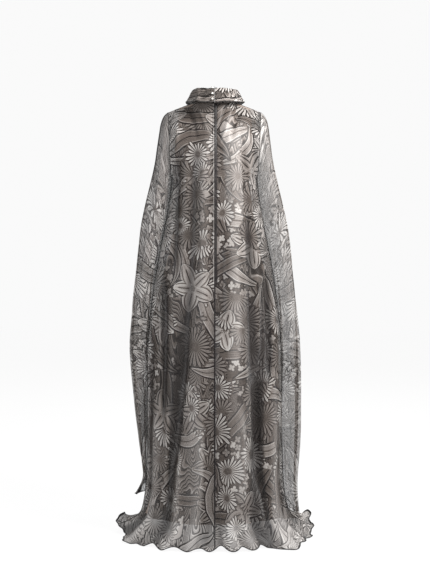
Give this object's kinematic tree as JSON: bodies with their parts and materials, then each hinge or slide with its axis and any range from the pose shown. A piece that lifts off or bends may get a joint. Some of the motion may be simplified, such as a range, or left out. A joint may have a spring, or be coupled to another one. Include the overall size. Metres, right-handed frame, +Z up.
{
  "type": "kaftan",
  "caption": "Floor-length sheer floral kaftan, worn and hollow, with long hanging sleeves, a rolled collar buttoned at the nape, a concealed back zip and a slip lining.",
  "frame": {"origin": "midpoint between the shoulders at shoulder-line height, where the wearer carries the cloth (mount wearer_shoulders)", "axes": "+Z up towards the collar, +Y out of the garment's front, +X to the wearer's right; the floor is 1.5 m below the origin"},
  "size_m": [0.7371, 0.5876, 1.5972],
  "materials": {
    "organza": "sheer organza printed with a grey floral, slight sheen",
    "slip": "matt taupe slip cloth",
    "pearl": "glossy pearl",
    "cord": "matt black cord",
    "tape": "matt woven tape"
  },
  "bodies": {
    "root": {"back_left": "organza", "back_right": "organza", "front": "organza", "sleeve_left": "organza", "sleeve_right": "organza", "collar": "organza", "lining_back": "slip", "lining_front": "slip", "collar_button_1": "pearl", "collar_button_2": "pearl", "collar_button_3": "pearl", "collar_loop_1": "cord", "collar_loop_2": "cord", "collar_loop_3": "cord", "back_zip": "tape"}
  },
  "joints": []
}
